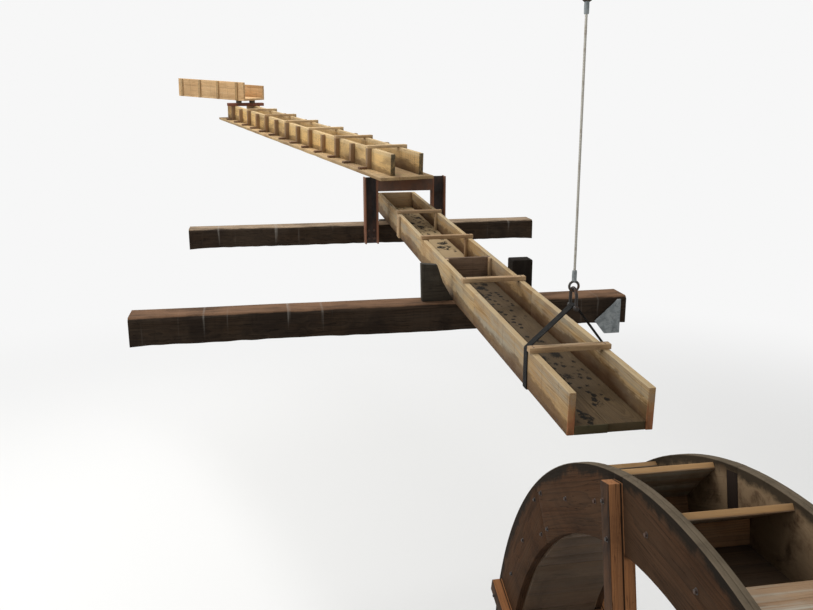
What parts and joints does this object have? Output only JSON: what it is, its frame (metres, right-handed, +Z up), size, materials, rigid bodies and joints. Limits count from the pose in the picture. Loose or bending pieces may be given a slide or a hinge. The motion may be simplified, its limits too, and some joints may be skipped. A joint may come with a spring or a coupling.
{
  "type": "pitch-back water wheel with timber launder",
  "caption": "Timber bucket wheel on an iron axle, fed from behind its top by a board launder on two cross beams, with a steel portal carrying a second launder.",
  "frame": {"origin": "middle of the lower cross beam's left end face", "axes": "+X along the cross beams and the axle, +Y upstream along the lower launder, +Z up"},
  "size_m": [4.2125, 15.4627, 6.345],
  "materials": {
    "old_timber": "weathered, dark, water-streaked",
    "board_wood": "sawn boards, stained along the floor",
    "grey_wood": "weathered grey",
    "wheel_wood": "dark wet planks",
    "fresh_wood": "sawn boards, orange to grey",
    "rust_steel": "rusted red-brown",
    "zinc": "zinc coated, dull",
    "web": "woven band, matt black",
    "iron": "plain, slightly rusted"
  },
  "bodies": {
    "plant": {"lower_beam": "old_timber", "upper_beam": "old_timber", "beam_end_plate": "zinc", "left_knee": "grey_wood", "right_cheek": "old_timber", "launder_floor_boards": "board_wood", "launder_left_side": "board_wood", "launder_right_side": "board_wood", "launder_ties": "board_wood", "side_battens": "board_wood", "cover_batten": "board_wood", "stop_board": "grey_wood", "head_board": "board_wood", "head_bearer": "grey_wood", "portal_posts": "rust_steel", "portal_head": "rust_steel", "upper_floor_boards": "board_wood", "upper_left_side": "board_wood", "upper_right_side": "board_wood", "upper_posts": "grey_wood", "upper_ties": "board_wood", "foot_cleats": "old_timber", "trough_bearer": "rust_steel", "trough_packers": "old_timber", "trough_floor": "fresh_wood", "trough_sides": "fresh_wood", "trough_battens": "grey_wood", "sling": "web", "shackle": "iron", "hanger_cable": "zinc", "ceiling_plate": "iron", "left_bearing": "iron", "right_bearing": "iron", "trestle_caps": "old_timber", "trestle_legs": "old_timber", "trestle_sills": "old_timber"},
    "wheel": {"axle": "iron", "hubs": "iron", "left_arms": "fresh_wood", "right_arms": "fresh_wood", "left_shroud": "wheel_wood", "right_shroud": "wheel_wood", "sole_boards": "wheel_wood", "bucket_risers": "fresh_wood", "bucket_faces": "fresh_wood"}
  },
  "joints": [
    {"name": "wheel_turn", "type": "hinge", "parent": "plant", "child": "wheel", "pos_m": [2.516, -3.533, -1.913], "axis": [-1, 0, 0], "continuous": true}
  ]
}
